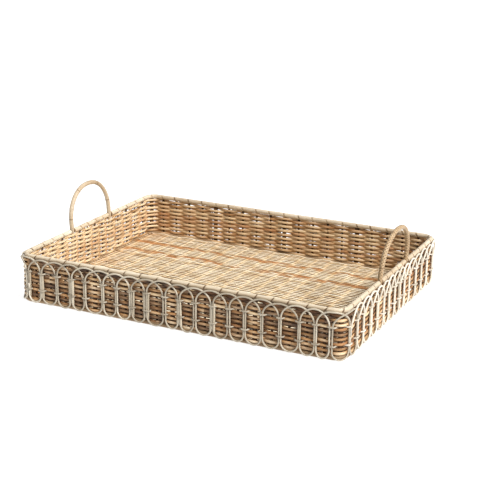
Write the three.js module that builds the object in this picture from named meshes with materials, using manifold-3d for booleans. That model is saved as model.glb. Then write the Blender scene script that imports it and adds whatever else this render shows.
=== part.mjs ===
// Woven rattan serving tray with two bent-rod handles.
//
// Millimetres, +Z up. The origin is on the ground under the middle of the tray.
// X runs along the long side, -Y is the front. Every piece is one closed solid.
// Woven panels are plain slabs of the true outer shape; touching pieces keep a small gap.

import * as THREE from "three";
import { mergeVertices } from "three/addons/utils/BufferGeometryUtils.js";
import Module from "manifold-3d";

const wasm = await Module();
wasm.setup();

// ---- driving sizes ------------------------------------------------------------------

const LENGTH = 600; // rim centreline to rim centreline, long way
const WIDTH = 444; // rim centreline to rim centreline, short way
const CORNER_RADIUS = 20; // bend of the rim centreline
const GAP = 0.3; // clearance kept between touching pieces

const RIM_HEIGHT = 82.5; // height of the rim rod's centre
const RIM_ROD_RADIUS = 4.6;
const ROD_SIDES = 8;
const BASE_ROD_RADIUS = RIM_ROD_RADIUS;
const FLAT = Math.cos(Math.PI / ROD_SIDES); // flat-to-centre over corner-to-centre
const BASE_ROD_HEIGHT = BASE_ROD_RADIUS * FLAT; // puts one flat of the rod on the ground

const WALL_HALF = 4.3; // half the thickness of the woven wall, a stake and a strand each side
const WALL_BOTTOM = BASE_ROD_HEIGHT + BASE_ROD_RADIUS + GAP;
const WALL_TOP = RIM_HEIGHT - RIM_ROD_RADIUS - GAP;

const FLOOR_BOTTOM = 2;
const FLOOR_TOP = 7;

const LONG_BAYS = 20; // stake spaces along a long wall
const SHORT_BAYS_PER_THIRD = 5; // the handle legs split a short wall into thirds
const POST_RADIUS = 3;
const POST_EVERY = 5; // every fifth stake of a long wall is a thick post

const HANDLE_HALF_SPAN = 64; // half the distance between the two legs
const HANDLE_ROD_RADIUS = 4;
const HANDLE_STRAIGHT_TOP = 97; // where the legs start to bend over
const HANDLE_TOP = 158.5; // centreline of the crown
const HANDLE_LEAN = 6; // outward lean at the crown
const HANDLE_ROUNDNESS = 2.15; // 2 is an ellipse, more is squarer
const LEG_RADIUS = 3; // legs are shaved thinner inside the wall

const CANE_RADIUS = 1.3; // thin decorative cane
const CANE_GAP = 0.6; // wider, because a cane cuts across the corners in short straight steps
const INNER_LANE = WALL_HALF + CANE_GAP + CANE_RADIUS;
const OUTER_LANE = INNER_LANE + 2 * CANE_RADIUS + CANE_GAP;
const LOOP_LOW = 0.5 + CANE_RADIUS; // lowest centre of a loop
const LOOP_BEND = 14; // height of the rounded bottom of a loop
const ARCH_FOOT = 57; // where the loops start to arch over
const ARCH_TOP = 80.5;

const BINDING_HEIGHTS = { lower: 26, upper: 56 };
const BINDING_HALF_HEIGHT = 1.5;
const BINDING_THICKNESS = 2.2;
const BINDING_OFFSET = OUTER_LANE + CANE_RADIUS + GAP;

// ---- the rounded rectangle that rim, walls and loops follow -------------------------

const STRAIGHT_X = LENGTH / 2 - CORNER_RADIUS;
const STRAIGHT_Y = WIDTH / 2 - CORNER_RADIUS;
const CORNER_ARC = (Math.PI / 2) * CORNER_RADIUS;
const PERIMETER = 4 * (STRAIGHT_X + STRAIGHT_Y + CORNER_ARC);

// Station 0 is the middle of the front; stations run anticlockwise seen from above.
const FRONT_MIDDLE = 0;
const RIGHT_MIDDLE = STRAIGHT_X + CORNER_ARC + STRAIGHT_Y;
const BACK_MIDDLE = PERIMETER / 2;
const LEFT_MIDDLE = PERIMETER / 2 + RIGHT_MIDDLE;

const sides = [
  { half: STRAIGHT_X, middle: FRONT_MIDDLE, angle: -Math.PI / 2, reach: WIDTH / 2 },
  { half: STRAIGHT_Y, middle: RIGHT_MIDDLE, angle: 0, reach: LENGTH / 2 },
  { half: STRAIGHT_X, middle: BACK_MIDDLE, angle: Math.PI / 2, reach: WIDTH / 2 },
  { half: STRAIGHT_Y, middle: LEFT_MIDDLE, angle: Math.PI, reach: LENGTH / 2 },
];

// The point at a station, a distance out from the centreline, at height z.
function around(station, out, z) {
  const wrapped = ((station % PERIMETER) + PERIMETER) % PERIMETER;
  for (const side of sides) {
    let along = wrapped - side.middle;
    if (along > PERIMETER / 2) along -= PERIMETER;
    if (along < -side.half - 1e-9 || along > side.half + CORNER_ARC) continue;
    const beyond = Math.max(0, along - side.half);
    const straight = along - beyond;
    const turn = beyond / CORNER_RADIUS;
    const outward = new THREE.Vector2(Math.cos(side.angle), Math.sin(side.angle));
    const forward = new THREE.Vector2(-outward.y, outward.x);
    const bent = outward.clone().rotateAround(new THREE.Vector2(), turn);
    const x = outward.x * (side.reach - CORNER_RADIUS) + forward.x * straight;
    const y = outward.y * (side.reach - CORNER_RADIUS) + forward.y * straight;
    const radius = CORNER_RADIUS + out;
    return new THREE.Vector3(x + bent.x * radius, y + bent.y * radius, z);
  }
  throw new Error(`no side holds station ${station}`);
}

// Stations from one to another, with extra stops through every bent corner.
function stationsBetween(start, end) {
  const stops = [start];
  for (let turn = -1; turn <= 1; turn += 1) {
    for (const side of sides) {
      const bendStart = side.middle + side.half + turn * PERIMETER;
      for (let i = 0; i <= 6; i += 1) stops.push(bendStart + (CORNER_ARC * i) / 6);
    }
  }
  stops.push(end);
  return stops.filter((stop) => stop >= start && stop <= end).sort((a, b) => a - b);
}

// ---- solids -------------------------------------------------------------------------

// A path through given points, one straight step between each pair.
class PointPath extends THREE.Curve {
  constructor(points) {
    super();
    this.points = points;
  }

  getPoint(t, target = new THREE.Vector3()) {
    const place = t * (this.points.length - 1);
    const index = Math.min(Math.floor(place), this.points.length - 2);
    return target.lerpVectors(this.points[index], this.points[index + 1], place - index);
  }

  getUtoTmapping(u) {
    return u;
  }
}

function polygon(radius, count, turn = 0) {
  const points = [];
  for (let i = 0; i < count; i += 1) {
    const angle = turn + (2 * Math.PI * i) / count;
    points.push(new THREE.Vector2(radius * Math.cos(angle), radius * Math.sin(angle)));
  }
  return new THREE.Shape(points);
}

function rodAlong(points, radius, count = ROD_SIDES) {
  return new THREE.ExtrudeGeometry(polygon(radius, count, Math.PI / count), {
    steps: points.length - 1,
    extrudePath: new PointPath(points),
    bevelEnabled: false,
  });
}

function uprightRod(x, y, bottom, top, radius, count = 16) {
  const rod = new THREE.CylinderGeometry(radius, radius, top - bottom, count);
  rod.rotateX(Math.PI / 2);
  rod.translate(x, y, (bottom + top) / 2);
  return rod;
}

function roundedRectangle(halfX, halfY, radius) {
  const shape = new THREE.Shape();
  shape.moveTo(-halfX + radius, -halfY);
  shape.lineTo(halfX - radius, -halfY);
  shape.absarc(halfX - radius, -halfY + radius, radius, -Math.PI / 2, 0, false);
  shape.absarc(halfX - radius, halfY - radius, radius, 0, Math.PI / 2, false);
  shape.absarc(-halfX + radius, halfY - radius, radius, Math.PI / 2, Math.PI, false);
  shape.absarc(-halfX + radius, -halfY + radius, radius, Math.PI, 1.5 * Math.PI, false);
  return shape;
}

// The centreline's rounded rectangle, grown outwards by a distance.
function outline(out) {
  return roundedRectangle(LENGTH / 2 + out, WIDTH / 2 + out, CORNER_RADIUS + out);
}

function prism(shape, bottom, top) {
  const solid = new THREE.ExtrudeGeometry(shape, {
    depth: top - bottom,
    bevelEnabled: false,
    curveSegments: 6,
  });
  solid.translate(0, 0, bottom);
  return solid;
}

function ring(innerOut, outerOut, bottom, top) {
  const shape = outline(outerOut);
  shape.holes.push(outline(innerOut));
  return prism(shape, bottom, top);
}

function toManifold(geometry) {
  const bare = geometry.clone();
  bare.deleteAttribute("normal");
  bare.deleteAttribute("uv");
  const merged = mergeVertices(bare, 1e-4);
  return new wasm.Manifold(
    new wasm.Mesh({
      numProp: 3,
      vertProperties: new Float32Array(merged.attributes.position.array),
      triVerts: new Uint32Array(merged.index.array),
    }),
  );
}

function toGeometry(manifold) {
  const mesh = manifold.getMesh();
  const geometry = new THREE.BufferGeometry();
  geometry.setAttribute("position", new THREE.BufferAttribute(mesh.vertProperties, 3));
  geometry.setIndex(new THREE.BufferAttribute(mesh.triVerts, 1));
  geometry.computeVertexNormals();
  return geometry;
}

// ---- materials and the assembly -----------------------------------------------------

const group = new THREE.Group();
group.name = "serving_tray";

const colours = {
  peeled_rod: 0xdcc6a2,
  base_rod: 0x8f8069,
  stake: 0x9a7c55,
  wall_weave: 0xa08055,
  floor_weave: 0xdfc08c,
  pale_cane: 0xcfc2ab,
};

function add(name, geometry, finish) {
  const material = new THREE.MeshStandardMaterial({ color: colours[finish], roughness: 0.6 });
  material.name = finish;
  const mesh = new THREE.Mesh(geometry, material);
  mesh.name = name;
  group.add(mesh);
}

// ---- stakes, posts and loop columns -------------------------------------------------

function longWallStakes() {
  const pitch = LENGTH / LONG_BAYS;
  const stakes = [];
  for (let i = 1 - LONG_BAYS / 2; i < LONG_BAYS / 2; i += 1) stakes.push(i * pitch);
  return stakes;
}

function shortWallStakes() {
  const innerPitch = (2 * HANDLE_HALF_SPAN) / SHORT_BAYS_PER_THIRD;
  const outerPitch = (WIDTH / 2 - HANDLE_HALF_SPAN) / SHORT_BAYS_PER_THIRD;
  const positive = [innerPitch / 2, 1.5 * innerPitch];
  for (let i = 0; i < SHORT_BAYS_PER_THIRD; i += 1) {
    positive.push(HANDLE_HALF_SPAN + i * outerPitch);
  }
  const negative = positive.map((y) => -y).reverse();
  return [...negative, ...positive];
}

// Every stake station in order: each side's own stakes, then the corner post after it.
function allStakeStations() {
  const stations = [];
  sides.forEach((side, index) => {
    const offsets = index % 2 === 0 ? longWallStakes() : shortWallStakes();
    offsets.forEach((offset) => stations.push(side.middle + offset));
    stations.push(side.middle + side.half + CORNER_ARC / 2);
  });
  return stations;
}

const stakeStations = allStakeStations();
const BAYS = stakeStations.length;

function stakeStation(index) {
  const turns = Math.floor(index / BAYS);
  return stakeStations[index - turns * BAYS] + turns * PERIMETER;
}

// Loop columns stand midway between neighbouring stakes.
function columnStation(index) {
  return (stakeStation(index - 1) + stakeStation(index)) / 2;
}

// ---- base, floor and rim ------------------------------------------------------------

function addRod(name, start, end, height, radius, finish) {
  const points = stationsBetween(start, end).map((station) => around(station, 0, height));
  add(name, rodAlong(points, radius), finish);
}

function addBase() {
  const end = RIGHT_MIDDLE - GAP / 2;
  addRod("base_rod_front", -end, end, BASE_ROD_HEIGHT, BASE_ROD_RADIUS, "base_rod");
  addRod("base_rod_back", PERIMETER / 2 - end, PERIMETER / 2 + end, BASE_ROD_HEIGHT,
    BASE_ROD_RADIUS, "base_rod");
  const edge = -BASE_ROD_RADIUS - GAP;
  add("floor_weave", prism(outline(edge), FLOOR_BOTTOM, FLOOR_TOP), "floor_weave");
}

function addRim() {
  const legClear = HANDLE_ROD_RADIUS + GAP;
  const end = RIGHT_MIDDLE - HANDLE_HALF_SPAN - legClear;
  const middle = HANDLE_HALF_SPAN - legClear;
  const rod = [RIM_HEIGHT, RIM_ROD_RADIUS, "peeled_rod"];
  addRod("rim_front", -end, end, ...rod);
  addRod("rim_back", PERIMETER / 2 - end, PERIMETER / 2 + end, ...rod);
  addRod("rim_right", RIGHT_MIDDLE - middle, RIGHT_MIDDLE + middle, ...rod);
  addRod("rim_left", LEFT_MIDDLE - middle, LEFT_MIDDLE + middle, ...rod);
}

// ---- walls --------------------------------------------------------------------------

function cornerPostPlaces() {
  return sides.map((side) => around(side.middle + side.half + CORNER_ARC / 2, 0, 0));
}

function longWallPostPlaces(middle) {
  const spacing = (POST_EVERY * LENGTH) / LONG_BAYS;
  return [-spacing, 0, spacing].map((offset) => around(middle + offset, 0, 0));
}

function legPlaces() {
  const places = [];
  for (const middle of [RIGHT_MIDDLE, LEFT_MIDDLE]) {
    for (const sign of [-1, 1]) places.push(around(middle + sign * HANDLE_HALF_SPAN, 0, 0));
  }
  return places;
}

// A wedge of ground under one wall, cut at 45 degrees through the two corner posts.
function wallRegion(sideIndex) {
  const spread = 40;
  const long = sideIndex % 2 === 0;
  const reach = (long ? WIDTH : LENGTH) / 2;
  const half = (long ? LENGTH : WIDTH) / 2 - GAP / 2 / Math.SQRT1_2;
  const shape = new THREE.Shape([
    new THREE.Vector2(-half - spread, -reach - spread),
    new THREE.Vector2(half + spread, -reach - spread),
    new THREE.Vector2(half - 2 * spread, -reach + 2 * spread),
    new THREE.Vector2(-half + 2 * spread, -reach + 2 * spread),
  ]);
  const region = prism(shape, 0, RIM_HEIGHT);
  region.rotateZ((sideIndex * Math.PI) / 2);
  return region;
}

function addWalls() {
  const places = [
    ...cornerPostPlaces(),
    ...longWallPostPlaces(FRONT_MIDDLE),
    ...longWallPostPlaces(BACK_MIDDLE),
    ...legPlaces(),
  ];
  let wall = toManifold(ring(-WALL_HALF, WALL_HALF, WALL_BOTTOM, WALL_TOP));
  for (const place of places) {
    const slot = uprightRod(place.x, place.y, 0, RIM_HEIGHT, POST_RADIUS + GAP);
    wall = wall.subtract(toManifold(slot));
  }
  ["front", "right", "back", "left"].forEach((name, index) => {
    const panel = wall.intersect(toManifold(wallRegion(index)));
    add(`wall_weave_${name}`, toGeometry(panel), "wall_weave");
  });
}

function addPosts() {
  const addPost = (name, place) => {
    const post = uprightRod(place.x, place.y, WALL_BOTTOM, WALL_TOP, POST_RADIUS, 12);
    add(name, post, "stake");
  };
  const corners = ["front_right", "back_right", "back_left", "front_left"];
  cornerPostPlaces().forEach((place, i) => addPost(`corner_post_${corners[i]}`, place));
  const thirds = ["left", "middle", "right"];
  longWallPostPlaces(FRONT_MIDDLE).forEach((place, i) => {
    addPost(`post_front_${thirds[i]}`, place);
  });
  longWallPostPlaces(BACK_MIDDLE).forEach((place, i) => {
    addPost(`post_back_${thirds[2 - i]}`, place);
  });
}

// ---- handles ------------------------------------------------------------------------

// Centreline of the right handle: up one leg, over the crown and down the other.
function handlePoints() {
  const lift = HANDLE_TOP - HANDLE_STRAIGHT_TOP;
  const power = 2 / HANDLE_ROUNDNESS;
  const steps = 14;
  const bend = [];
  for (let i = 0; i <= steps; i += 1) {
    const angle = (Math.PI * i) / steps;
    const across = -Math.sign(Math.cos(angle)) * Math.abs(Math.cos(angle)) ** power;
    const up = Math.sin(angle) ** power;
    bend.push([HANDLE_HALF_SPAN * across, HANDLE_STRAIGHT_TOP + lift * up]);
  }
  const foot = RIM_HEIGHT - RIM_ROD_RADIUS + GAP / 3;
  const flat = [
    [-HANDLE_HALF_SPAN, foot],
    [-HANDLE_HALF_SPAN, RIM_HEIGHT],
    ...bend,
    [HANDLE_HALF_SPAN, RIM_HEIGHT],
    [HANDLE_HALF_SPAN, foot],
  ];
  return flat.map(([y, z]) => {
    const raised = Math.max(0, (z - RIM_HEIGHT) / (HANDLE_TOP - RIM_HEIGHT));
    return new THREE.Vector3(LENGTH / 2 + HANDLE_LEAN * raised, y, z);
  });
}

function addHandles() {
  let handle = toManifold(rodAlong(handlePoints(), HANDLE_ROD_RADIUS));
  for (const sign of [-1, 1]) {
    const y = sign * HANDLE_HALF_SPAN;
    const leg = uprightRod(LENGTH / 2, y, WALL_BOTTOM, RIM_HEIGHT, LEG_RADIUS, 12);
    handle = handle.add(toManifold(leg));
  }
  add("handle_right", toGeometry(handle), "peeled_rod");
  add("handle_left", toGeometry(handle.rotate([0, 0, 180])), "peeled_rod");
}

// ---- decorative loops ---------------------------------------------------------------

// One repeat of the loop cane: up a column in the outer lane, over the next column,
// down the one after it in the inner lane, and back under to the column in between.
function loopRepeat(index) {
  const side = CANE_RADIUS + GAP / 2;
  const rise = columnStation(index) + side;
  const fall = columnStation(index + 2) - side;
  const next = columnStation(index + 1) + side;
  const lane = (turned) => {
    const share = THREE.MathUtils.clamp(turned * 4 - 1.5, 0, 1);
    return THREE.MathUtils.lerp(OUTER_LANE, INNER_LANE, share);
  };
  const points = [];
  const archSteps = 8;
  for (let i = 0; i <= archSteps; i += 1) {
    const part = i / archSteps;
    const centre = (rise + fall) / 2;
    const station = centre - ((fall - rise) / 2) * Math.cos(Math.PI * part);
    const z = ARCH_FOOT + (ARCH_TOP - ARCH_FOOT) * Math.sin(Math.PI * part);
    points.push(around(station, lane(part), z));
  }
  const bendSteps = 5;
  for (let i = 0; i <= bendSteps; i += 1) {
    const part = i / bendSteps;
    const centre = (fall + next) / 2;
    const station = centre + ((fall - next) / 2) * Math.cos(Math.PI * part);
    const z = LOOP_LOW + LOOP_BEND * (1 - Math.sin(Math.PI * part));
    points.push(around(station, lane(1 - part), z));
  }
  return points;
}

// A cane starts and ends half way up a column, where the next one carries on.
function addLoopCane(name, first, count) {
  const side = CANE_RADIUS + GAP / 2;
  const joint = (LOOP_LOW + LOOP_BEND + ARCH_FOOT) / 2;
  const points = [around(columnStation(first) + side, OUTER_LANE, joint + GAP)];
  for (let i = 0; i < count; i += 1) points.push(...loopRepeat(first + i));
  points.push(around(columnStation(first + count) + side, OUTER_LANE, joint - GAP));
  add(name, rodAlong(points, CANE_RADIUS, 4), "pale_cane");
}

function addLoops() {
  const shortBays = BAYS / 2 - LONG_BAYS;
  addLoopCane("loop_cane_front", 0, LONG_BAYS);
  addLoopCane("loop_cane_right", LONG_BAYS, shortBays);
  addLoopCane("loop_cane_back", BAYS / 2, LONG_BAYS);
  addLoopCane("loop_cane_left", BAYS / 2 + LONG_BAYS, shortBays);
}

function addBindings() {
  for (const [name, height] of Object.entries(BINDING_HEIGHTS)) {
    const outer = BINDING_OFFSET + BINDING_THICKNESS;
    const low = height - BINDING_HALF_HEIGHT;
    const high = height + BINDING_HALF_HEIGHT;
    add(`binding_${name}`, ring(BINDING_OFFSET, outer, low, high), "pale_cane");
  }
}

addBase();
addRim();
addWalls();
addPosts();
addHandles();
addLoops();
addBindings();

export default group;
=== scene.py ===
import math

import bpy
import numpy as np
from mathutils import Matrix, Vector


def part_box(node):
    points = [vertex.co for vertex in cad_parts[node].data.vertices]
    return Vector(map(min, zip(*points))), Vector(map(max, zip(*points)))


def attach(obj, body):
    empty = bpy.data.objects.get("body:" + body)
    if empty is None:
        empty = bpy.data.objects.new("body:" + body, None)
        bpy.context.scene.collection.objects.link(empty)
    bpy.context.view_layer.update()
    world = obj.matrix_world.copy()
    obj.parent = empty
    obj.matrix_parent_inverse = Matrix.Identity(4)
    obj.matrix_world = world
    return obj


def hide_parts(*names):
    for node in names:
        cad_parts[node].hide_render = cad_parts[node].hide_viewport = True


# The looks of a woven rattan serving tray: every strand, stake, rod and cane is its own
# swept tube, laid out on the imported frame. Metres, with the same axes as the frame.

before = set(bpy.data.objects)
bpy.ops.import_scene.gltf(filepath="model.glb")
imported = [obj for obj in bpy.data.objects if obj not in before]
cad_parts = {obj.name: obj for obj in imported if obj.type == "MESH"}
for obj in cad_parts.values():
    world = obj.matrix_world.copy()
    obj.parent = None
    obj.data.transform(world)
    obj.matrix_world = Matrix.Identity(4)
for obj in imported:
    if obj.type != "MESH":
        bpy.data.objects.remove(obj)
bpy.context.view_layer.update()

MM = 0.001
RNG = np.random.default_rng(20)
UP = np.array([0.0, 0.0, 1.0])


# ---- sizes read from the frame ----------------------------------------------------------

def corners(node):
    """The two opposite corners of a node's box."""
    lo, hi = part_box(node)
    return np.array(lo), np.array(hi)


rim_lo, rim_hi = corners("rim_front")
_, wall_hi = corners("wall_weave_front")
floor_lo, floor_hi = corners("floor_weave")
base_lo, base_hi = corners("base_rod_front")
handle_lo, handle_hi = corners("handle_right")
corner_lo, corner_hi = corners("corner_post_front_right")
post_lo, post_hi = corners("post_front_right")

RIM_HALF = (rim_hi[2] - rim_lo[2]) / 2
RIM_Z = (rim_hi[2] + rim_lo[2]) / 2
HALF_X = rim_hi[0] - RIM_HALF
HALF_Y = -rim_lo[1] - RIM_HALF
WALL_BOTTOM = base_hi[2] - 2 * MM  # the lowest strand sinks a little into the base rod
WALL_TOP = wall_hi[2]
POST_X = (post_hi[0] + post_lo[0]) / 2

# The corner posts stand in the middle of the bends, which gives the bend radius.
CORNER_X = (corner_hi[0] + corner_lo[0]) / 2
BEND = (HALF_X - CORNER_X) / (1 - math.cos(math.pi / 4))

HANDLE_RADIUS = 4 * MM
HANDLE_SPRING = 97 * MM  # height where the legs start to bend over
HANDLE_ROUNDNESS = 2.15  # 2 is an ellipse, more is squarer
HANDLE_SPAN = (handle_hi[1] - handle_lo[1]) / 2 - HANDLE_RADIUS
HANDLE_TOP = handle_hi[2] - HANDLE_RADIUS
HANDLE_LEAN = handle_hi[0] - HANDLE_RADIUS - HALF_X

LONG_BAYS = 20  # spaces between stakes along a long wall
THIRD_BAYS = 5  # the handle legs split a short wall into thirds

STRAIGHT_X = HALF_X - BEND
STRAIGHT_Y = HALF_Y - BEND
ARC = BEND * math.pi / 2
PERIMETER = 4 * (STRAIGHT_X + STRAIGHT_Y + ARC)
# A station is a distance round the rim from the middle of the front, towards the right.
RIGHT = STRAIGHT_X + ARC + STRAIGHT_Y
# Front, right, back and left:
# (middle station, half of the straight part, direction outwards, distance outwards)
SIDES = [
    (0.0, STRAIGHT_X, -math.pi / 2, HALF_Y),
    (RIGHT, STRAIGHT_Y, 0.0, HALF_X),
    (PERIMETER / 2, STRAIGHT_X, math.pi / 2, HALF_Y),
    (PERIMETER / 2 + RIGHT, STRAIGHT_Y, math.pi, HALF_X),
]


def around(station, out, z):
    """Points round the rim centreline, moved outwards and up, and the outward directions."""
    station, out, z = np.broadcast_arrays(np.asarray(station, float), out, z)
    points = np.zeros(station.shape + (3,))
    outward = np.zeros_like(points)
    wrapped = np.mod(station, PERIMETER)
    for middle, half, angle, reach in SIDES:
        along = wrapped - middle
        along = np.where(along > PERIMETER / 2, along - PERIMETER, along)
        here = (along >= -half - 1e-9) & (along <= half + ARC)
        beyond = np.clip(along - half, 0, None)
        turned = angle + beyond / BEND
        face = np.array([math.cos(angle), math.sin(angle)])
        ahead = np.array([-face[1], face[0]])
        direction = np.stack([np.cos(turned), np.sin(turned)], -1)
        flat = face * (reach - BEND) + ahead * (along - beyond)[..., None]
        flat = flat + direction * (BEND + out)[..., None]
        points[here, :2] = flat[here]
        outward[here, :2] = direction[here]
    points[..., 2] = z
    return points, outward


def stake_stations():
    """Where the wall stakes stand round the tray, the corner posts included."""
    long_pitch = 2 * HALF_X / LONG_BAYS
    long_side = long_pitch * np.arange(1 - LONG_BAYS // 2, LONG_BAYS // 2)
    inner = 2 * HANDLE_SPAN / THIRD_BAYS
    outer = (HALF_Y - HANDLE_SPAN) / THIRD_BAYS
    positive = [inner / 2, inner * 1.5] + [HANDLE_SPAN + i * outer for i in range(THIRD_BAYS)]
    short_side = np.array([-y for y in reversed(positive)] + positive)
    stations = []
    for index, (middle, half, _, _) in enumerate(SIDES):
        stations += list(middle + (long_side if index % 2 == 0 else short_side))
        stations.append(middle + half + ARC / 2)
    return np.array(stations)


STAKES = stake_stations()
BAYS = len(STAKES)


def stake(index):
    """The station of a stake; an index past the last one goes round the tray again."""
    return STAKES[index % BAYS] + PERIMETER * (index // BAYS)


def column(index):
    """A loop column stands midway between two stakes."""
    return (stake(index - 1) + stake(index)) / 2


def near(one, other):
    """Whether two places are less than a millimetre apart."""
    return abs(one - other) < MM


def from_middle(station, middle):
    """Distance from the middle of a side, the short way round the tray."""
    return abs((station - middle + PERIMETER / 2) % PERIMETER - PERIMETER / 2)


def is_thick(index):
    """Corner posts, handle legs and every fifth stake of the long walls are thick."""
    station = STAKES[index]
    front, right, back, left = (side[0] for side in SIDES)
    corner = any(near(station, middle + half + ARC / 2) for middle, half, _, _ in SIDES)
    leg = any(near(from_middle(station, middle), HANDLE_SPAN) for middle in (right, left))
    post = any(near(from_middle(station, middle), place)
               for middle in (front, back) for place in (0.0, POST_X))
    return corner or leg or post


THICK = np.array([is_thick(i) for i in range(BAYS)])


# ---- swept tubes ------------------------------------------------------------------------

def ring_angles(sides):
    """Angles round a tube; on a rod bent round the tray 0 is outwards and pi / 2 is up."""
    return 2 * np.pi * np.arange(sides) / sides


class Bundle:
    """A mesh of many swept strands, each with its own tone and warmth."""

    def __init__(self, name, sides=8):
        self.name = name
        self.sides = sides
        self.verts, self.quads, self.caps = [], [], []
        self.uv, self.tone, self.warm = [], [], []
        self.count = 0

    def add(self, points, facing, across, through, tone, warm=0.0):
        """Sweeps an oval: `through` is its radius along `facing`, `across` the other one."""
        n = len(points)
        tangent = np.gradient(points, axis=0)
        tangent /= np.linalg.norm(tangent, axis=1, keepdims=True)
        side = np.cross(tangent, np.broadcast_to(facing, points.shape))
        side /= np.linalg.norm(side, axis=1, keepdims=True)
        normal = np.cross(side, tangent)
        turn = ring_angles(self.sides)
        across = self.per_vertex(across, n)[..., None]
        through = self.per_vertex(through, n)[..., None]
        ring = (points[:, None]
                + side[:, None] * np.cos(turn)[:, None] * across
                + normal[:, None] * np.sin(turn)[:, None] * through)
        self.verts.append(ring.reshape(-1, 3))
        self.tone.append(self.per_vertex(tone, n).ravel())
        self.warm.append(self.per_vertex(warm, n).ravel())
        self.add_faces(n)
        self.add_uv(points)

    def add_faces(self, rings):
        """Joins each ring of the strand to the next and closes both ends."""
        k = np.arange(self.sides)
        i = np.arange(rings - 1)[:, None] * self.sides + self.count
        after = (k + 1) % self.sides
        quads = np.stack([i + k, i + after, i + after + self.sides, i + k + self.sides], -1)
        self.quads.append(quads.reshape(-1, 4))
        self.caps.append(self.count + k[::-1])
        self.caps.append(self.count + (rings - 1) * self.sides + k)
        self.count += rings * self.sides

    def add_uv(self, points):
        """u is the length along the strand, from a random start, and v goes once round it."""
        shape = (len(points) - 1, self.sides, 4)
        k = np.arange(self.sides)
        steps = np.linalg.norm(np.diff(points, axis=0), axis=1)
        length = np.concatenate([[0], np.cumsum(steps)]) + RNG.uniform(0, 9)
        u = np.stack([length[:-1], length[:-1], length[1:], length[1:]], -1)
        v = np.stack([k, k + 1, k + 1, k], -1) / self.sides
        u = np.broadcast_to(u[:, None], shape)
        v = np.broadcast_to(v[None], shape)
        self.uv.append(np.stack([u, v], -1).reshape(-1, 2))

    def per_vertex(self, value, rings):
        """Spreads one number, or one per ring, over the vertices of every ring."""
        value = np.asarray(value, float)
        if value.ndim == 1:
            value = value[:, None]
        return np.broadcast_to(value, (rings, self.sides))

    def faces(self):
        """The corners of all faces, quads first, and the place where each face starts."""
        quads = np.concatenate(self.quads)
        caps = np.array(self.caps)
        loops = np.concatenate([quads.ravel(), caps.ravel()])
        totals = np.concatenate([np.full(len(quads), 4), np.full(len(caps), self.sides)])
        starts = np.concatenate([[0], np.cumsum(totals)[:-1]])
        return loops, starts

    def mesh(self):
        """The smooth mesh, with its map along the strands and its two attributes."""
        loops, starts = self.faces()
        verts = np.concatenate(self.verts)
        mesh = bpy.data.meshes.new(self.name)
        mesh.vertices.add(len(verts))
        mesh.vertices.foreach_set("co", verts.ravel())
        mesh.loops.add(len(loops))
        mesh.loops.foreach_set("vertex_index", loops.astype(np.int32))
        mesh.polygons.add(len(starts))
        mesh.polygons.foreach_set("loop_start", starts.astype(np.int32))
        mesh.polygons.foreach_set("use_smooth", np.ones(len(starts), bool))
        mesh.update(calc_edges=True)
        strand_uv = np.concatenate(self.uv)
        uv = np.zeros((len(loops), 2))
        uv[:len(strand_uv)] = strand_uv
        layer = mesh.uv_layers.new(name="strand")
        layer.uv.foreach_set("vector", uv.ravel())
        for label, values in (("tone", self.tone), ("warm", self.warm)):
            attribute = mesh.attributes.new(label, "FLOAT", "POINT")
            attribute.data.foreach_set("value", np.concatenate(values).astype(np.float32))
        mesh.validate()
        return mesh

    def build(self, material, slot_name, *nodes):
        """Makes the object and ties it to the frame, in place of the given nodes."""
        mesh = self.mesh()
        mesh.materials.append(material)
        obj = bpy.data.objects.new(self.name, mesh)
        bpy.context.collection.objects.link(obj)
        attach(obj, "root")
        if nodes:
            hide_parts(*nodes)


def fill_between(values, share):
    """Values from each one to the next by the given shares, the last one included."""
    values = np.asarray(values, float)
    mixed = values[:-1, None] * (1 - share) + values[1:, None] * share
    return np.append(mixed.ravel(), values[-1])


def blend_between(values, steps):
    """Eased values, `steps` to each gap, that level out at every given one."""
    return fill_between(values, (1 - np.cos(np.pi * np.arange(steps) / steps)) / 2)


def bent_between(values, steps):
    """Like blend_between, but nearly straight in the middle, as a strand under tension."""
    share = np.arange(steps) / steps
    return fill_between(values, share - 0.55 * np.sin(2 * np.pi * share) / (2 * np.pi))


def even_between(values, steps):
    """Evenly spaced values, `steps` to each gap."""
    return fill_between(values, np.arange(steps) / steps)


def drifting(places, low, high, draws):
    """Random draws laid out evenly from low to high, with straight lines between them."""
    return np.interp(places, np.linspace(low, high, len(draws)), draws)


# ---- materials --------------------------------------------------------------------------

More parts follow.
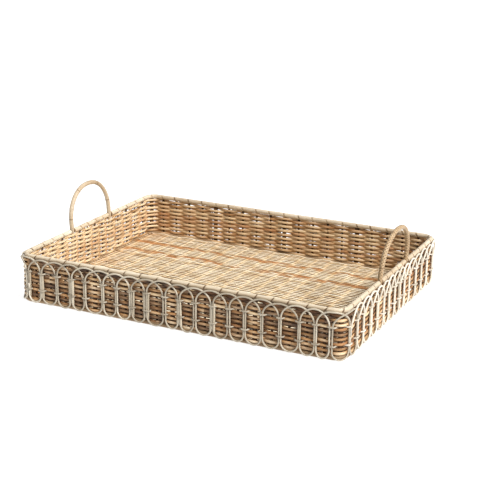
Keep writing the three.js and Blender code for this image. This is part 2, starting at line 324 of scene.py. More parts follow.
class Graph:
    """Short ways to add the shader nodes used by every rattan material."""

    def __init__(self, name):
        self.material = bpy.data.materials.new(name)
        self.material.use_nodes = True
        self.tree = self.material.node_tree
        self.tree.nodes.clear()

    def node(self, kind, inputs=None, **settings):
        """Adds a node with the given inputs and settings."""
        made = self.tree.nodes.new(kind)
        for key, value in settings.items():
            setattr(made, key, value)
        for key, value in (inputs or {}).items():
            self.feed(made.inputs[key], value)
        return made

    def feed(self, socket, value):
        """Links a socket to the given one, or sets it to the given constant."""
        if isinstance(value, bpy.types.NodeSocket):
            self.tree.links.new(value, socket)
        else:
            socket.default_value = value

    def math(self, operation, a, b=0.0, clamp=False):
        made = self.node("ShaderNodeMath", {0: a, 1: b}, operation=operation, use_clamp=clamp)
        return made.outputs[0]

    def centred(self, noise, amount):
        """A 0 to 1 noise moved to lie evenly about zero, and scaled."""
        return self.math("MULTIPLY", self.math("SUBTRACT", noise, 0.5), amount)

    def attribute(self, name):
        return self.node("ShaderNodeAttribute", attribute_name=name).outputs["Fac"]

    def stretched(self, vector, scale):
        made = self.node("ShaderNodeVectorMath", {0: vector, 1: scale}, operation="MULTIPLY")
        return made.outputs[0]

    def noise(self, vector, scale, detail=3.0, roughness=0.55):
        made = self.node("ShaderNodeTexNoise", {"Vector": vector, "Scale": scale,
                                                "Detail": detail, "Roughness": roughness})
        return made.outputs["Fac"]

    def ramp(self, factor, stops):
        made = self.node("ShaderNodeValToRGB", {"Fac": factor})
        elements = made.color_ramp.elements
        while len(elements) < len(stops):
            elements.new(0.5)
        for element, (place, colour) in zip(elements, stops):
            element.position = place
            element.color = (*colour, 1)
        return made.outputs["Color"]

    def mix(self, factor, a, b):
        made = self.node("ShaderNodeMix", data_type="RGBA")
        self.feed(made.inputs["Factor"], factor)
        for socket, colour in ((made.inputs[6], a), (made.inputs[7], b)):
            self.feed(socket, (*colour, 1) if isinstance(colour, tuple) else colour)
        return made.outputs[2]

    def creases(self, uv):
        """1 along the two narrow edges of a flat strand, and 0 over its faces: where painted
        shade darkens the creases between strands.
        """
        round_strand = self.node("ShaderNodeSeparateXYZ", {0: uv}).outputs[1]
        wave = self.math("COSINE", self.math("MULTIPLY", round_strand, math.tau))
        return self.math("POWER", self.math("ABSOLUTE", wave), 5.0)

    def scales(self, uv, length, turns):
        """Dark joints between short scales in staggered rows, as on unpeeled rattan."""
        black, white = (0, 0, 0, 1), (1, 1, 1, 1)
        made = self.node("ShaderNodeTexBrick", {"Vector": uv, "Scale": 1.0, "Mortar Size": 0.0007,
                                                "Brick Width": length, "Row Height": 1 / turns,
                                                "Color1": black, "Color2": black,
                                                "Mortar": white}, offset=0.5)
        return made.outputs["Fac"]


def srgb(red, green, blue):
    """Linear colour from display values between 0 and 255."""
    parts = [c / 255 for c in (red, green, blue)]
    return tuple(c / 12.92 if c <= 0.04045 else ((c + 0.055) / 1.055) ** 2.4 for c in parts)


class Fibres:
    """The strand map and the noises that every rattan material draws on."""

    def __init__(self, g):
        self.uv = g.node("ShaderNodeUVMap", uv_map="strand").outputs[0]
        place = g.node("ShaderNodeTexCoord").outputs["Object"]
        self.along = g.stretched(self.uv, (60, 7, 1))
        self.coarse = g.noise(self.along, 1.0, 4.0, 0.6)
        self.fine = g.noise(g.stretched(self.uv, (240, 22, 1)), 1.0, 3.0, 0.6)
        self.blotch = g.noise(place, 34.0, 4.0, 0.6)
        self.patch = g.noise(place, 9.0, 2.0, 0.5)


def paleness(g, fibres, streaks, blotches, crease_shade, scaly):
    """How pale each spot of a strand is, from 0 to 1."""
    level = g.math("ADD", g.centred(fibres.coarse, streaks), g.centred(fibres.blotch, blotches))
    level = g.math("ADD", level, g.centred(fibres.fine, streaks / 2))
    level = g.math("ADD", level, g.attribute("tone"), clamp=True)
    # Painted shade: darker along the creases between neighbouring strands.
    if crease_shade:
        edges = g.math("MULTIPLY", g.creases(fibres.uv), crease_shade)
        level = g.math("SUBTRACT", level, edges, clamp=True)
    if scaly:
        joints = g.math("MULTIPLY", g.scales(fibres.uv, 5.5 * MM, 9), scaly)
        level = g.math("SUBTRACT", level, g.math("MULTIPLY", joints, fibres.blotch), clamp=True)
    return level


def warmed(g, fibres, colour, warm_colour):
    """Tints the strands whose warmth is above zero and greys those below it."""
    warm = g.attribute("warm")
    warmth = g.math("MULTIPLY", warm, g.math("ADD", fibres.patch, 0.45), clamp=True)
    colour = g.mix(warmth, colour, warm_colour)
    grey = g.node("ShaderNodeHueSaturation", {"Saturation": 0.35, "Value": 0.92,
                                              "Color": colour}).outputs[0]
    return g.mix(g.math("MULTIPLY", warm, -1.0, clamp=True), colour, grey)


def stained(g, fibres, colour, stain_colour, amount):
    """Scatters short dark marks along the strand."""
    black, white = (0, 0, 0), (1, 1, 1)
    marks = g.ramp(g.noise(fibres.along, 2.3, 5.0, 0.65),
                   [(0.0, black), (0.58, black), (0.72, white)])
    return g.mix(g.math("MULTIPLY", marks, amount, clamp=True), colour, stain_colour)


def rattan(name, shades, warm_colour, stain_colour, roughness=0.55, streaks=0.35,
           blotches=0.3, stains=0.25, crease_shade=0.0, scaly=0.0):
    """Peeled or natural rattan: fibre streaks along the strand, blotches and dark stains, and
    painted shade in the creases where asked.
    """
    g = Graph(name)
    fibres = Fibres(g)
    colour = g.ramp(paleness(g, fibres, streaks, blotches, crease_shade, scaly), shades)
    colour = warmed(g, fibres, colour, warm_colour)
    colour = stained(g, fibres, colour, stain_colour, stains)
    rough = g.math("ADD", g.centred(fibres.coarse, 0.3), roughness)
    height = g.math("ADD", g.math("MULTIPLY", fibres.coarse, 0.7),
                    g.math("MULTIPLY", fibres.fine, 0.5))
    bumped = g.node("ShaderNodeBump", {"Height": height, "Strength": 0.35,
                                       "Distance": 0.0006}).outputs[0]
    surface = g.node("ShaderNodeBsdfPrincipled", {"Base Color": colour, "Roughness": rough,
                                                  "Normal": bumped})
    surface.inputs["Specular IOR Level"].default_value = 0.35
    g.node("ShaderNodeOutputMaterial", {"Surface": surface.outputs[0]})
    return g.material


def wall_look():
    shades = [(0.0, srgb(70, 46, 28)), (0.3, srgb(127, 91, 56)), (0.6, srgb(181, 140, 93)),
              (1.0, srgb(230, 204, 164))]
    return rattan("wall_rattan", shades, srgb(170, 112, 66), srgb(64, 38, 20),
                  streaks=0.5, blotches=0.55, crease_shade=0.5)


def floor_look():
    shades = [(0.0, srgb(104, 70, 40)), (0.3, srgb(186, 149, 102)), (0.6, srgb(223, 199, 158)),
              (1.0, srgb(248, 238, 214))]
    return rattan("floor_rattan", shades, srgb(188, 132, 82), srgb(132, 84, 44),
                  stains=0.18, crease_shade=1.0)


def cane_look():
    shades = [(0.0, srgb(104, 90, 72)), (0.35, srgb(158, 144, 122)), (0.7, srgb(192, 180, 158)),
              (1.0, srgb(224, 214, 196))]
    return rattan("pale_cane", shades, srgb(196, 160, 112), srgb(104, 86, 64),
                  roughness=0.5, stains=0.3)


def rod_look():
    shades = [(0.0, srgb(94, 72, 50)), (0.35, srgb(175, 155, 127)), (0.7, srgb(208, 194, 170)),
              (1.0, srgb(234, 225, 207))]
    return rattan("peeled_rod", shades, srgb(196, 148, 98), srgb(132, 100, 68),
                  roughness=0.45, stains=0.3)


def skin_look():
    """The right handle keeps the scaly marks of its skin."""
    shades = [(0.0, srgb(96, 70, 46)), (0.35, srgb(176, 150, 114)), (0.7, srgb(214, 194, 162)),
              (1.0, srgb(236, 224, 202))]
    return rattan("skinned_rod", shades, srgb(196, 148, 98), srgb(132, 100, 68),
                  roughness=0.45, stains=0.3, scaly=0.9)


def base_look():
    shades = [(0.0, srgb(70, 50, 32)), (0.4, srgb(116, 92, 66)), (0.75, srgb(156, 130, 98)),
              (1.0, srgb(192, 168, 134))]
    return rattan("base_rattan", shades, srgb(146, 106, 66), srgb(60, 44, 30))


def stake_look():
    shades = [(0.0, srgb(48, 30, 16)), (0.4, srgb(92, 62, 36)), (0.75, srgb(138, 100, 62)),
              (1.0, srgb(180, 142, 96))]
    return rattan("stake_rattan", shades, srgb(140, 84, 42), srgb(40, 24, 12))


WALL_LOOK = wall_look()
FLOOR_LOOK = floor_look()
CANE_LOOK = cane_look()
ROD_LOOK = rod_look()
SKIN_LOOK = skin_look()
BASE_LOOK = base_look()
STAKE_LOOK = stake_look()


# ---- wall weave -------------------------------------------------------------------------

ROW_PITCH = 3.9 * MM
STAKE_RADIUS = 1.1 * MM
STAKE_WIDTH = 2.3 * MM
SLIM_POST = 2.3 * MM
WEAVER_THICK = 1.4 * MM
WEAVER_TALL = 2.6 * MM
WALL_STEPS = 10  # rings to a bay
# How much paler or darker each wall's strands are painted, as painted light and shade for how
# that wall is lit, and how much warmer they are: front, right, back, left.
WALL_PAINTED_LIGHT = (-0.09, -0.1, 0.52, 0.44)
SIDE_WARMTH = (-0.22, 0.0, 0.08, -0.12)


def strand_runs(total, shortest, longest):
    """Splits a row of `total` gaps into random runs, one strand each."""
    cuts = [0]
    while cuts[-1] < total:
        cuts.append(cuts[-1] + int(RNG.integers(shortest, longest)))
    cuts[-1] = total
    return list(zip(cuts[:-1], cuts[1:]))


def along_walls(stations, values):
    """A value for each wall, blended round the corners."""
    places, levels = [], []
    for turn in (-1, 0, 1):
        for (middle, half, _, _), value in zip(SIDES, values):
            places += [middle - half + turn * PERIMETER, middle + half + turn * PERIMETER]
            levels += [value, value]
    order = np.argsort(places)
    wrapped = np.mod(stations, PERIMETER)
    return np.interp(wrapped, np.array(places)[order], np.array(levels)[order])


def add_wall_strand(bundle, row, level, row_tone, stops):
    """One strand, outside one stake and inside the next, with a painted highlight where it stands
    out and painted shade between.
    """
    reach = np.where(THICK[stops % BAYS], SLIM_POST, STAKE_RADIUS) + WEAVER_THICK
    sign = np.where((stops + row) % 2 == 0, 1.0, -1.0)
    out = sign * reach * RNG.normal(1, 0.07, len(stops))
    sag = RNG.normal(0, 0.42 * MM, len(stops))
    stations = even_between([stake(i) for i in stops], WALL_STEPS)
    offset = bent_between(out, WALL_STEPS)
    points, outward = around(stations, offset, level + blend_between(sag, WALL_STEPS))
    # Painted light and shade: each wall's strands are made paler or darker by how that wall is
    # lit.
    tone = 0.5 + row_tone + RNG.normal(0, 0.16) + along_walls(stations, WALL_PAINTED_LIGHT)
    mottled = even_between(RNG.normal(0, 0.12, len(stops)), WALL_STEPS)
    # Painted highlight where the strand stands out over a stake, and painted shade where it lies
    # flat between stakes.
    raised = np.abs(offset) / (STAKE_RADIUS + WEAVER_THICK)
    tone = np.clip(tone + mottled + 0.38 * (raised - 0.6), 0.02, 0.98)
    warm = np.clip(RNG.normal(0.1, 0.25), 0, 0.6) + along_walls(stations, SIDE_WARMTH)
    tall = WEAVER_TALL * RNG.normal(1, 0.05)
    bundle.add(points, outward, tall, WEAVER_THICK, tone, warm)


def build_walls():
    bundle = Bundle("wall_weavers")
    rows = round((WALL_TOP - WALL_BOTTOM) / ROW_PITCH)
    pitch = (WALL_TOP - WALL_BOTTOM) / rows
    for row in range(rows):
        level = WALL_BOTTOM + (row + 0.5) * pitch
        first = int(RNG.integers(0, BAYS))
        row_tone = RNG.normal(0, 0.06)
        for start, stop in strand_runs(BAYS, 9, 34):
            stops = np.arange(first + start, first + stop + 1)
            add_wall_strand(bundle, row, level, row_tone, stops)
    bundle.build(WALL_LOOK, "wall_weave", "wall_weave_front", "wall_weave_right",
                 "wall_weave_back", "wall_weave_left")


def build_stakes():
    """The thin flat stakes, where no post or handle leg stands."""
    thin = Bundle("wall_stakes")
    for index in np.flatnonzero(~THICK):
        height = np.linspace(WALL_BOTTOM - 1 * MM, WALL_TOP + 1 * MM, 4)
        points, outward = around(np.full(4, STAKES[index]), 0.0, height)
        # Low tones on the dark stake rattan: painted shade for the deep holes where the stakes
        # show through the weave.
        thin.add(points, outward, STAKE_WIDTH, STAKE_RADIUS, RNG.uniform(0.0, 0.35))
    thin.build(STAKE_LOOK, "stake")


def build_posts():
    posts = [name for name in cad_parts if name.startswith(("corner_post", "post_"))]
    for name in sorted(posts):
        lo, hi = corners(name)
        x, y, _ = (lo + hi) / 2
        height = np.linspace(lo[2], hi[2], 12)
        points = np.stack([np.full(12, x), np.full(12, y), height], -1)
        outward = np.array([0, 1.0, 0])
        if name.startswith("corner"):
            outward = np.array([np.sign(x), np.sign(y), 0])
        radius = SLIM_POST * RNG.normal(1, 0.02, 12)
        post = Bundle(name + "_rod", 12)
        # Low tones here too: painted shade for the dark holes beside the posts.
        post.add(points, outward, 1.9 * radius, radius, RNG.uniform(0.0, 0.3))
        post.build(STAKE_LOOK, "stake", name)


# ---- floor weave ------------------------------------------------------------------------

# The strands run a little way into the base rod, so that no gap shows along the edge.
FLOOR_X = floor_hi[0] + 1.5 * MM
FLOOR_Y = floor_hi[1] + 1.5 * MM
FLOOR_Z = (floor_lo[2] + floor_hi[2]) / 2
FLOOR_BEND = BEND - (HALF_X - FLOOR_X)
FLOOR_STAKE_RADIUS = 0.8 * MM
FLOOR_WEAVER_TALL = 1.35 * MM
FLOOR_WEAVER_WIDE = 2.15 * MM
FLOOR_RIB = 5.5 * MM  # between neighbouring stakes of one group
FLOOR_LIFT = 0.95 * MM
FLOOR_STEPS = 6  # rings between two stakes
# Painted shade of the left wall: the floor's left end is tinted warmer.
WARM_END = 0.07  # the left end of the floor is warmer, over this length
# Browner strands run along these lines: (distance behind the middle, half width).
BROWN_LINES = ((0.156, 0.006), (0.103, 0.007), (-0.19, 0.005))


def floor_edge(across, half_length, half_width):
    """How far the floor reaches along one way, at a distance from its middle the other way."""
    inside = np.clip(np.abs(across) - (half_width - FLOOR_BEND), 0, FLOOR_BEND)
    return half_length - FLOOR_BEND + np.sqrt(np.maximum(FLOOR_BEND ** 2 - inside ** 2, 0))


def floor_stakes():
    """The floor stakes stand in threes, in line with the stakes of the long walls."""
    pitch = 2 * HALF_X / LONG_BAYS
    middles = pitch * np.arange(1 - LONG_BAYS // 2, LONG_BAYS // 2)
    return (middles[:, None] + FLOOR_RIB * np.array([-1, 0, 1])).ravel()


def brown_bands(x, y, waves):
    """How strongly the brown strands show along one row of the floor."""
    total = np.zeros_like(x)
    for (place, width), wave in zip(BROWN_LINES, waves):
        total += np.exp(-((y - place - drifting(x, -HALF_X, HALF_X, wave)) / width) ** 2)
    return total


def floor_colours(x, y, height, waves):
    """Tone and warmth along a floor strand, with painted shade where it dips between the stakes.
    """
    crossing_shade = 1 - np.clip(np.abs(height) / FLOOR_LIFT, 0, 1)
    patches = drifting(x, -FLOOR_X, FLOOR_X, RNG.uniform(-0.8, 2.2, 40))
    brown = np.clip(brown_bands(x, y, waves) * patches, 0, 1)
    # Painted shade cast by the left wall, as a warmer tint at that end of the floor.
    left_wall_shade = np.clip((-FLOOR_X + WARM_END - x) / WARM_END, 0, 1)
    warm = brown + 0.22 * left_wall_shade + max(0.0, RNG.normal(-0.05, 0.12))
    worn = drifting(x, -FLOOR_X, FLOOR_X, RNG.normal(0, 0.09, 30))
    # Painted shade where the strand crosses down between the stake groups.
    tone = 0.9 + RNG.normal(0, 0.11) + worn - 0.55 * brown - 0.3 * crossing_shade
    return np.clip(tone, 0, 1), warm


def add_floor_strand(bundle, row, y, stakes, waves):
    """One strand, over one group of three stakes and under the next."""
    edge = floor_edge(y, FLOOR_X, FLOOR_Y) - 0.5 * MM
    stops = np.concatenate([[-edge], stakes, [edge]])
    group = (np.arange(len(stops)) + 2) // 3
    sign = np.where((group + row) % 2 == 0, 1.0, -1.0)
    x = even_between(stops, FLOOR_STEPS)
    height = blend_between(sign * FLOOR_LIFT * RNG.normal(1, 0.15, len(stops)), FLOOR_STEPS)
    wander = drifting(x, -FLOOR_X, FLOOR_X, RNG.normal(0, 0.42 * MM, 40))
    points = np.stack([x, y + wander, FLOOR_Z + height], -1)
    tone, warm = floor_colours(x, y, height, waves)
    bundle.add(points, UP, FLOOR_WEAVER_WIDE, FLOOR_WEAVER_TALL, tone, warm)


def build_floor():
    stakes = floor_stakes()
    waves = [RNG.normal(0, 2.0 * MM, LONG_BAYS) for _ in BROWN_LINES]
    rows = int(2 * FLOOR_Y / ROW_PITCH)
    weavers = Bundle("floor_weavers")
    for row in range(rows):
        y = -FLOOR_Y + (row + 0.5) * 2 * FLOOR_Y / rows
        add_floor_strand(weavers, row, y, stakes, waves)
    weavers.build(FLOOR_LOOK, "floor_weave", "floor_weave")


def build_floor_stakes():
    ribs = Bundle("floor_stakes")
    for x in floor_stakes():
        edge = floor_edge(x, FLOOR_Y, FLOOR_X) - 1 * MM
        y = np.linspace(-edge, edge, 30)
        wander = RNG.normal(0, 0.15 * MM, 30)
        points = np.stack([x + wander, y, np.full(30, FLOOR_Z)], -1)
        ribs.add(points, UP, FLOOR_STAKE_RADIUS, FLOOR_STAKE_RADIUS, RNG.uniform(0.1, 0.5))
    ribs.build(STAKE_LOOK, "floor_weave")


# ---- rods: base, rim and handles --------------------------------------------------------

ROD_SIDES = 14
ROD_STEP = 0.9 * MM  # close enough that bends stay round and grooves stay narrow
NODE_SPACING = 0.21
GROOVE_DEPTH = 0.16
HANDLE_NODE_SPACING = 0.075
HANDLE_RING_SPACING = 0.062
# How much painted shade darkens the outer under side of the rim: front, right, back, left.
RIM_SHADE = (0.5, 0.0, 0.5, 0.1)


def swelling(length, radius, spacing, amount):
    """Radius along a rod that has growth nodes at about the given spacing."""
    shape = np.full(len(length), radius)
    place = RNG.uniform(0.2, 0.9) * spacing
    while place < length[-1]:
        shape += amount * np.exp(-((length - place) / (2.5 * MM)) ** 2)
        place += spacing * RNG.uniform(0.8, 1.2)
    return shape * (1 + drifting(length, 0, length[-1], RNG.normal(0, 0.012, 12)))


def grooves(stations):
    """0 to 1 over a rod's vertices: short slanting cuts where the stakes meet the rod."""
    turn = ring_angles(ROD_SIDES)
    deep = np.zeros((len(stations), ROD_SIDES))
    for index in range(-BAYS, 2 * BAYS):
        place = stake(index) + RNG.normal(0, 1.2 * MM)
        if not stations[0] < place < stations[-1]:
            continue
        slant = 2.6 * MM * np.sin(turn) * RNG.uniform(0.6, 1.2)
        across = np.exp(-((stations[:, None] - place - slant) / (1.1 * MM)) ** 2)
        for middle in (RNG.uniform(0.05, 0.3), RNG.uniform(0.75, 0.95)):
            patch = np.clip(1.3 - np.abs(turn - np.pi * middle), 0, 1)
            deep = np.maximum(deep, across * patch * RNG.uniform(0.5, 1.0))
    return deep


def bent_rod(start, end, z, radius):
    """A rod bent round the tray: its stations, centreline, radius and tone."""
    stations = np.linspace(start, end, max(8, int((end - start) / ROD_STEP)))
    sway = drifting(stations, start, end, RNG.normal(0, 0.25 * MM, 14))
    points, _ = around(stations, sway, z + sway[::-1] * 0.8)
    length = stations - stations[0]
    thick = swelling(length, radius, NODE_SPACING, 0.35 * MM)
    tone = drifting(length, 0, length[-1], RNG.uniform(0.5, 0.85, 9))
    return stations, points, thick[:, None], tone[:, None]


def finish_rod(name, points, thick, tone, look, slot_name):
    rod = Bundle(name + "_rod", ROD_SIDES)
    rod.add(points, UP, thick, thick, tone, RNG.uniform(0, 0.25))
    rod.build(look, slot_name, name)


def build_base_rods():
    z = (base_lo[2] + base_hi[2]) / 2
    radius = (base_hi[2] - base_lo[2]) / 2 - 0.3 * MM
    reach = RIGHT - 0.2 * MM
    for name, middle in (("base_rod_front", 0.0), ("base_rod_back", PERIMETER / 2)):
        _, points, thick, tone = bent_rod(middle - reach, middle + reach, z, radius)
        finish_rod(name, points, thick, tone, BASE_LOOK, "base_rod")


def build_rim_rods():
    """Four lengths that end at the handle legs, notched by the stakes and with painted shade
    underneath.
    """
    clear = HANDLE_RADIUS + 0.8 * MM
    long_reach = RIGHT - HANDLE_SPAN - clear
    short_reach = HANDLE_SPAN - clear
    half = PERIMETER / 2
    turn = ring_angles(ROD_SIDES)
    # Mask of the painted shade: the outer, lower face of the rod.
    under = np.clip(0.8 * np.cos(turn) - 0.6 * np.sin(turn), 0, 1)
    for name, middle, reach in (("rim_front", 0.0, long_reach), ("rim_back", half, long_reach),
                                ("rim_right", RIGHT, short_reach),
                                ("rim_left", half + RIGHT, short_reach)):
        start, end = middle - reach, middle + reach
        stations, points, thick, tone = bent_rod(start, end, RIM_Z, RIM_HALF - 0.05 * MM)
        deep = grooves(stations)
        to_end = np.minimum(stations - start, end - stations)[:, None]
        # Darker at both ends, and painted shade in the notches that the stakes cut.
        tone = tone - np.exp(-to_end / MM) - 1.3 * deep
        # Painted shade on the rim's outer under side.
        tone = tone - along_walls(stations, RIM_SHADE)[:, None] * under
        thick = thick * (1 - GROOVE_DEPTH * deep)
        finish_rod(name, points, thick, tone, ROD_LOOK, "peeled_rod")


def handle_curve(direction):
    """One handle's centreline: up a leg, over the round crown and down the other leg."""
    power = 2 / HANDLE_ROUNDNESS
    angle = np.linspace(0, math.pi, 300)
    across = -np.sign(np.cos(angle)) * np.abs(np.cos(angle)) ** power * HANDLE_SPAN
    up = HANDLE_SPRING + (HANDLE_TOP - HANDLE_SPRING) * np.sin(angle) ** power
    leg = np.linspace(WALL_BOTTOM, HANDLE_SPRING, 30)[:-1]
    foot = np.full(len(leg), HANDLE_SPAN)
    y = np.concatenate([-foot, across, foot])
    z = np.concatenate([leg, up, leg[::-1]])
    raised = np.clip((z - RIM_Z) / (HANDLE_TOP - RIM_Z), 0, None)
    x = HALF_X + HANDLE_LEAN * raised
    return np.stack([direction * x, direction * y, z], -1)


def ringed(tone, length):
    """Darkens narrow rings along a handle, where leaves once grew."""
    for place in np.arange(0.1, length[-1], HANDLE_RING_SPACING):
        ring = np.exp(-((length - place - RNG.normal(0, 5 * MM)) / (0.7 * MM)) ** 2)
        tone = tone - 0.55 * ring
    return tone


def build_handles():
    """The legs are shaved thinner where they go down into the wall."""
    for name, direction, look in (("handle_right", 1, SKIN_LOOK), ("handle_left", -1, ROD_LOOK)):
        points = handle_curve(direction)
        steps = np.linalg.norm(np.diff(points, axis=0), axis=1)
        length = np.concatenate([[0], np.cumsum(steps)])
        thick = swelling(length, HANDLE_RADIUS, HANDLE_NODE_SPACING, 0.3 * MM)
        above = np.clip((points[:, 2] - WALL_TOP) / (2 * MM), 0, 1)
        thick = thick * (0.72 + 0.28 * above)
        tone = ringed(drifting(length, 0, length[-1], RNG.uniform(0.3, 0.6, 8)), length)
        rod = Bundle(name + "_rod", 16)
        rod.add(points, np.array([1.0, 0, 0]), thick, thick, tone, 0.1)
        rod.build(look, "peeled_rod", name)


# ---- loops and bindings -----------------------------------------------------------------

SHORT_BAYS = BAYS // 2 - LONG_BAYS
# The first bay of each side and how many bays it has.
SIDE_BAYS = {"front": (0, LONG_BAYS), "right": (LONG_BAYS, SHORT_BAYS),
             "back": (BAYS // 2, LONG_BAYS), "left": (BAYS // 2 + LONG_BAYS, SHORT_BAYS)}
CANE = 1.42 * MM
PAIR = 1.7 * MM  # from the middle of a column to each of its two strands
# Painted light on the canes of each side: paler where the side is lit, darker where it is shaded.
CANE_PAINTED_LIGHT = {"front": -0.1, "right": 0.3, "back": -0.1, "left": 0.15}
SIDE_GIRTH = {"front": 1.0, "right": 1.16, "back": 1.0, "left": 1.08}
# How far out the strand lies in a column, over the arch before it and under the one after.
COLUMN_OUT = 4.6 * MM
OVER_OUT = 8.0 * MM
UNDER_OUT = 6.0 * MM
ARCH_FOOT = 55 * MM
ARCH_TOP = 81.8 * MM
LOOP_LOW = 2.0 * MM
LOOP_BEND = 14 * MM
LOOP_JOINT = 36 * MM  # the height where the run of one side ends
SPLICE_PLACE = 3.7 * MM
SPLICES = 18
BINDINGS = {"lower": 26 * MM, "upper": 56 * MM}
BINDING_REACH = 9 * MM
BINDING_RISE = 5 * MM


def side_of(bay):
    """The side of the tray that a bay lies on."""
    for side, (first, count) in SIDE_BAYS.items():
        if first <= bay % BAYS < first + count:
            return side


def loop_columns():
    """Where the loop columns stand, each a little off its place, and on past the first ones."""
    wobble = RNG.normal(0, 1.2 * MM, BAYS + 4)
    return [column(i) + wobble[i % BAYS] for i in range(BAYS + 4)]


def arch(rise, fall, top):
    """An arch two bays wide, over the arch before it and then under the one after it."""
    part = np.linspace(0, 1, 25)
    stations = (rise + fall) / 2 - (fall - rise) / 2 * np.cos(np.pi * part)
    lane = OVER_OUT + (UNDER_OUT - OVER_OUT) * np.clip(part * 4 - 1.5, 0, 1)
    ends = np.clip(4 * np.abs(part - 0.5) - 1, 0, 1) ** 2
    heights = ARCH_FOOT + (top - ARCH_FOOT) * np.sin(np.pi * part)
    return stations, lane + (COLUMN_OUT - lane) * ends, heights


def loop_bend(fall, back, low):
    """The round bottom of a loop, back to the column before."""
    part = np.linspace(0, 1, 15)
    swing = np.sin(np.pi * part)
    stations = (fall + back) / 2 + (fall - back) / 2 * np.cos(np.pi * part)
    return stations, COLUMN_OUT + 0.7 * MM * swing, low + LOOP_BEND * (1 - swing)


def loop_run(centre, tops, lows, first, count):
    """The whole run of one side: over an arch, down a column, round and up, and over again."""
    pieces = [([centre[first] + PAIR], [COLUMN_OUT], [LOOP_JOINT])]
    for k in range(first, first + count):
        rise, fall, back = centre[k] + PAIR, centre[k + 2] - PAIR, centre[k + 1] + PAIR
        pieces.append(arch(rise, fall, ARCH_TOP + tops[k % BAYS]))
        pieces.append(loop_bend(fall, back, LOOP_LOW + lows[k % BAYS]))
    pieces.append(([centre[first + count] + PAIR], [COLUMN_OUT], [LOOP_JOINT - 0.4 * MM]))
    return [np.concatenate(values) for values in zip(*pieces)]


def build_loops(centre):
    tops = RNG.normal(0, 0.7 * MM, BAYS + 4)
    lows = RNG.uniform(0, 1.2 * MM, BAYS + 4)
    for side, (first, count) in SIDE_BAYS.items():
        stations, outs, heights = loop_run(centre, tops, lows, first, count)
        total = len(stations)
        step = np.arange(total)
        sway = drifting(step, 0, total, RNG.normal(0, 0.55 * MM, 5 * count))
        points, outward = around(stations + sway, outs, heights)
        tone = drifting(step, 0, total, RNG.uniform(0.45, 0.85, 40))
        girth = CANE * SIDE_GIRTH[side]
        loops = Bundle(f"loop_cane_{side}_strand")
        # The cane's tone carries the painted light of its side.
        loops.add(points, outward, girth, girth, tone + CANE_PAINTED_LIGHT[side], -0.15)
        loops.build(CANE_LOOK, "pale_cane", f"loop_cane_{side}")


def build_splices(centre):
    """Short extra canes on both sides of some columns, where one cane takes over."""
    splices = Bundle("loop_splices")
    for k in RNG.choice(BAYS, SPLICES, replace=False):
        for step in (-1, 1):
            height = np.linspace(RNG.uniform(6, 12) * MM, RNG.uniform(54, 60) * MM, 9)
            lean = np.linspace(0, RNG.normal(0, 0.8 * MM), 9)
            station = centre[k] + step * SPLICE_PLACE + lean
            points, outward = around(station, COLUMN_OUT - 0.7 * MM, height)
            splices.add(points, outward, CANE, CANE, RNG.uniform(0.45, 0.8), 0.05)
    splices.build(CANE_LOOK, "pale_cane")


def build_bindings(centre):
    """Two canes round the tray: over each pair of loop strands, then into the weave."""
    sunk = 0.5 * MM
    over = COLUMN_OUT + CANE + 0.9 * MM
    stops = []
    for k in range(BAYS + 1):
        stops += [stake(k - 1), centre[k % BAYS] + PERIMETER * (k // BAYS)]
    stations = even_between(stops, 12)
    gaps = np.abs(stations[:, None] - np.array(stops[1::2])[None]).min(axis=1)
    lift = np.clip((BINDING_REACH - gaps) / BINDING_RISE, 0, 1)
    lift = lift * lift * (3 - 2 * lift)
    # The bindings take the same painted light as the canes of each side.
    painted_light_at = np.repeat([CANE_PAINTED_LIGHT[side_of(k)] for k in range(BAYS + 1)], 2)
    for name, level in BINDINGS.items():
        z = level + np.interp(stations, stops[::2], RNG.normal(0, 0.8 * MM, BAYS + 1))
        points, outward = around(stations, (over + sunk) * lift - sunk, z)
        tone = np.interp(stations, stops, RNG.uniform(0.35, 0.7, len(stops)) + painted_light_at)
        ring = Bundle(f"binding_{name}_cane")
        ring.add(points, outward, 1.45 * MM, 1.1 * MM, tone, -0.2)
        ring.build(CANE_LOOK, "pale_cane", f"binding_{name}")


# ---- stage, light and camera ------------------------------------------------------------

STAGE_HALF = 30.0
# The camera looks at this point; azimuth 0 is the front and a positive one is to the right.
CAMERA_TARGET = Vector((-0.0644, 0.1578, 0.040))
CAMERA_AZIMUTH, CAMERA_ELEVATION, CAMERA_ROLL = map(math.radians, (26.09, 17.34, 0.74))
CAMERA_DISTANCE = 2.4036
CAMERA_LENS = 93.74
CAMERA_SENSOR = 36


def towards(azimuth, elevation):
    """Unit vector from the tray: azimuth 0 is the front, a quarter turn on is the right."""
    level = math.cos(elevation)
    return Vector((math.sin(azimuth) * level, -math.cos(azimuth) * level, math.sin(elevation)))


def stage_look():
    """A pale studio floor that gives off some light of its own, so that it stays white."""
    g = Graph("studio_floor")
    place = g.node("ShaderNodeTexCoord").outputs["Object"]
    grain = g.noise(place, 3.0)
    colour = g.ramp(grain, [(0.0, (0.32, 0.32, 0.32)), (1.0, (0.36, 0.36, 0.36))])
    surface = g.node("ShaderNodeBsdfPrincipled", {"Base Color": colour, "Roughness": 0.9,
                                                  "Emission Color": (1, 1, 1, 1)})
    surface.inputs["Specular IOR Level"].default_value = 0.1
    surface.inputs["Emission Strength"].default_value = 0.85
    g.node("ShaderNodeOutputMaterial", {"Surface": surface.outputs[0]})
    return g.material


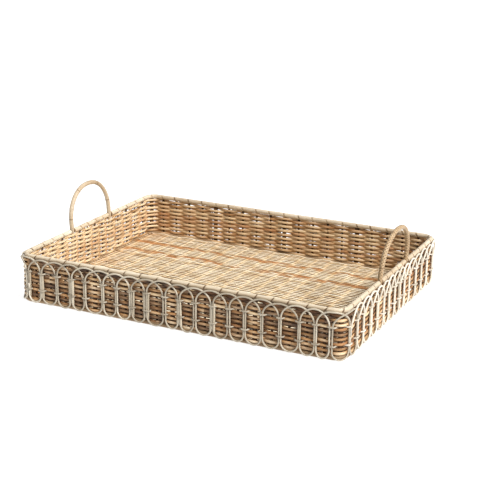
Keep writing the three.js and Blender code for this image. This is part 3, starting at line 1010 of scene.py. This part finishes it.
def build_stage():
    size = STAGE_HALF
    mesh = bpy.data.meshes.new("studio_floor")
    mesh.from_pydata([(-size, -size, 0), (size, -size, 0), (size, size, 0), (-size, size, 0)],
                     [], [(0, 1, 2, 3)])
    mesh.materials.append(stage_look())
    floor = bpy.data.objects.new("studio_floor", mesh)
    bpy.context.collection.objects.link(floor)


def add_sun(name, azimuth, elevation, softness, strength):
    """A soft light from a direction in degrees, as wide in the sky as its softness."""
    light = bpy.data.lights.new(name, "SUN")
    light.angle = math.radians(softness)
    light.energy = strength
    lamp = bpy.data.objects.new(name, light)
    bpy.context.collection.objects.link(lamp)
    direction = towards(math.radians(azimuth), math.radians(elevation))
    lamp.location = direction * 2
    lamp.rotation_euler = direction.to_track_quat("Z", "Y").to_euler()


def light_scene():
    world = bpy.data.worlds.new("studio")
    bpy.context.scene.world = world
    world.use_nodes = True
    background = world.node_tree.nodes["Background"]
    background.inputs["Color"].default_value = (1.0, 1.0, 1.0, 1)
    background.inputs["Strength"].default_value = 0.36
    add_sun("key", 72, 42, 12, 3.95)
    add_sun("top", 140, 70, 45, 1.0)
    bpy.context.scene.view_settings.view_transform = "Standard"


def place_camera():
    back = towards(CAMERA_AZIMUTH, CAMERA_ELEVATION)
    right = (-back).cross(Vector((0, 0, 1))).normalized()
    up = right.cross(-back)
    turned_right = math.cos(CAMERA_ROLL) * right + math.sin(CAMERA_ROLL) * up
    turned_up = -math.sin(CAMERA_ROLL) * right + math.cos(CAMERA_ROLL) * up
    data = bpy.data.cameras.new("photo_view")
    data.sensor_width = CAMERA_SENSOR
    data.lens = CAMERA_LENS
    camera = bpy.data.objects.new("photo_view", data)
    bpy.context.collection.objects.link(camera)
    turn = Matrix((turned_right, turned_up, back)).transposed().to_4x4()
    camera.matrix_world = Matrix.Translation(CAMERA_TARGET + back * CAMERA_DISTANCE) @ turn
    bpy.context.scene.camera = camera


build_walls()
build_stakes()
build_posts()
build_floor()
build_floor_stakes()
build_base_rods()
build_rim_rods()
build_handles()
columns = loop_columns()
build_loops(columns)
build_splices(columns)
build_bindings(columns)
build_stage()
light_scene()
place_camera()
